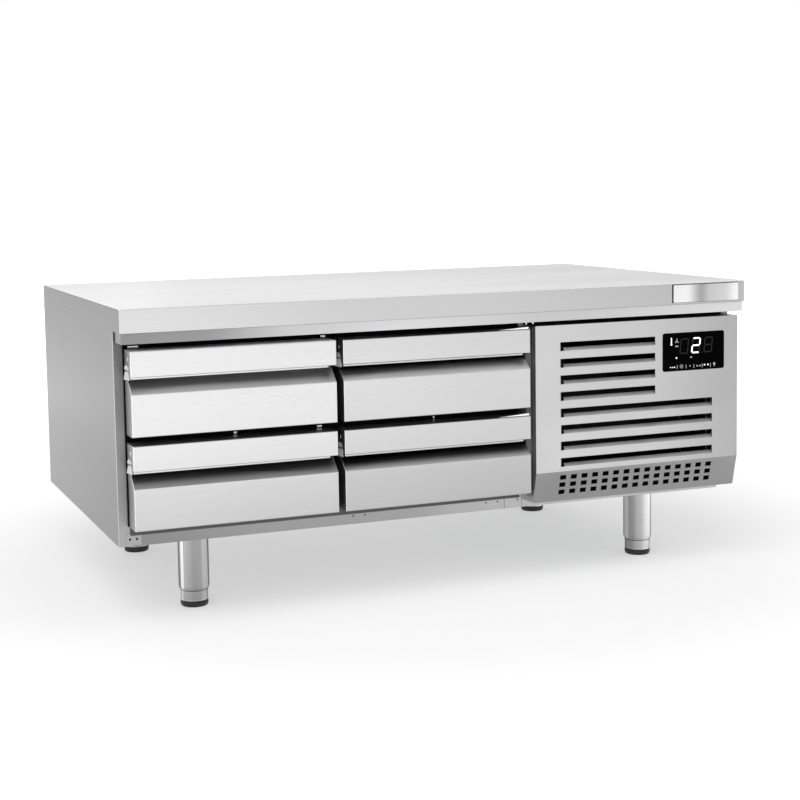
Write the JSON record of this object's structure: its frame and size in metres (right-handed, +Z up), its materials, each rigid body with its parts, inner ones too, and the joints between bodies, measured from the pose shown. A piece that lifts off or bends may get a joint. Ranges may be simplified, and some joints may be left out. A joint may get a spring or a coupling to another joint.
{
  "type": "refrigerated chef base",
  "caption": "Low refrigerated counter with a flat steel worktop, full-extension drawers under folded grips, a louvred machine compartment and adjustable legs",
  "frame": {"origin": "on the floor, under the middle of the worktop", "axes": "+X to the right along the front, +Y to the back, +Z up; the drawers open towards -Y"},
  "size_m": [1.2, 0.7, 0.54],
  "materials": {
    "stainless": "brushed stainless steel, fine horizontal grain",
    "stainless_bright": "bright rolled stainless steel",
    "galvanised": "galvanised sheet steel",
    "black_plastic": "black moulded plastic",
    "gasket": "dark grey magnetic gasket",
    "display_glass": "black glossy display face",
    "black_paint": "black painted steel",
    "aluminium_fins": "plain aluminium fins",
    "copper": "bare copper pipe"
  },
  "bodies": {
    "cabinet": {"worktop": "stainless", "nose_strip": "stainless", "side_panel_left": "stainless", "side_panel_right": "stainless", "back_panel": "stainless", "front_frame": "stainless", "machine_frame": "stainless", "base_panel": "stainless", "ceiling_panel": "stainless", "partition": "stainless", "divider": "stainless", "machine_panel": "stainless", "evaporator_cover": "stainless", "unit_tray": "galvanised", "fan_shroud": "galvanised", "electrical_box": "black_plastic", "compressor": "black_paint", "fan_motor": "black_paint", "controller": "display_glass", "condenser": "aluminium_fins", "evaporator": "aluminium_fins", "discharge_pipe": "copper", "rack_left_1": "galvanised", "rack_right_1": "galvanised", "rack_left_2": "galvanised", "rack_right_2": "galvanised", "leg_tube_1": "stainless", "leg_tube_2": "stainless", "leg_tube_3": "stainless", "leg_tube_4": "stainless"},
    "drawer_1": {"drawer_front_1": "stainless", "drawer_gasket_1": "gasket", "drawer_box_1": "stainless_bright"},
    "runners_1": {"runner_left_1": "galvanised", "runner_right_1": "galvanised"},
    "foot_1": {"foot_sleeve_1": "stainless_bright", "foot_pad_1": "black_plastic"},
    "drawer_2": {"drawer_front_2": "stainless", "drawer_gasket_2": "gasket", "drawer_box_2": "stainless_bright"},
    "runners_2": {"runner_left_2": "galvanised", "runner_right_2": "galvanised"},
    "foot_2": {"foot_sleeve_2": "stainless_bright", "foot_pad_2": "black_plastic"},
    "drawer_3": {"drawer_front_3": "stainless", "drawer_gasket_3": "gasket", "drawer_box_3": "stainless_bright"},
    "runners_3": {"runner_left_3": "galvanised", "runner_right_3": "galvanised"},
    "foot_3": {"foot_sleeve_3": "stainless_bright", "foot_pad_3": "black_plastic"},
    "drawer_4": {"drawer_front_4": "stainless", "drawer_gasket_4": "gasket", "drawer_box_4": "stainless_bright"},
    "runners_4": {"runner_left_4": "galvanised", "runner_right_4": "galvanised"},
    "foot_4": {"foot_sleeve_4": "stainless_bright", "foot_pad_4": "black_plastic"},
    "condenser_fan": {"condenser_fan": "black_plastic"},
    "evaporator_fan": {"evaporator_fan": "black_plastic"}
  },
  "joints": [
    {"name": "drawer_1_slide", "type": "slide", "parent": "cabinet", "child": "drawer_1", "axis": [0, -1, 0], "range_m": [0, 0.5]},
    {"name": "drawer_2_slide", "type": "slide", "parent": "cabinet", "child": "drawer_2", "axis": [0, -1, 0], "range_m": [0, 0.5]},
    {"name": "drawer_3_slide", "type": "slide", "parent": "cabinet", "child": "drawer_3", "axis": [0, -1, 0], "range_m": [0, 0.5]},
    {"name": "drawer_4_slide", "type": "slide", "parent": "cabinet", "child": "drawer_4", "axis": [0, -1, 0], "range_m": [0, 0.5]},
    {"name": "runners_1_slide", "type": "slide", "parent": "cabinet", "child": "runners_1", "axis": [0, -1, 0], "range_m": [0, 0.25]},
    {"name": "runners_2_slide", "type": "slide", "parent": "cabinet", "child": "runners_2", "axis": [0, -1, 0], "range_m": [0, 0.25]},
    {"name": "runners_3_slide", "type": "slide", "parent": "cabinet", "child": "runners_3", "axis": [0, -1, 0], "range_m": [0, 0.25]},
    {"name": "runners_4_slide", "type": "slide", "parent": "cabinet", "child": "runners_4", "axis": [0, -1, 0], "range_m": [0, 0.25]},
    {"name": "foot_1_adjust", "type": "slide", "parent": "cabinet", "child": "foot_1", "axis": [0, 0, -1], "range_m": [0, 0.03]},
    {"name": "foot_2_adjust", "type": "slide", "parent": "cabinet", "child": "foot_2", "axis": [0, 0, -1], "range_m": [0, 0.03]},
    {"name": "foot_3_adjust", "type": "slide", "parent": "cabinet", "child": "foot_3", "axis": [0, 0, -1], "range_m": [0, 0.03]},
    {"name": "foot_4_adjust", "type": "slide", "parent": "cabinet", "child": "foot_4", "axis": [0, 0, -1], "range_m": [0, 0.03]},
    {"name": "condenser_fan_spin", "type": "hinge", "parent": "cabinet", "child": "condenser_fan", "pos_m": [0.369, -0.1827, 0.2623], "axis": [0, 1, 0], "continuous": true},
    {"name": "evaporator_fan_spin", "type": "hinge", "parent": "cabinet", "child": "evaporator_fan", "pos_m": [-0.217, 0.2494, 0.3117], "axis": [0, 1, 0], "continuous": true}
  ],
  "couplings": [
    {"joint": "runners_1_slide", "follows": "drawer_1_slide", "ratio": 0.5},
    {"joint": "runners_2_slide", "follows": "drawer_2_slide", "ratio": 0.5},
    {"joint": "runners_3_slide", "follows": "drawer_3_slide", "ratio": 0.5},
    {"joint": "runners_4_slide", "follows": "drawer_4_slide", "ratio": 0.5}
  ]
}
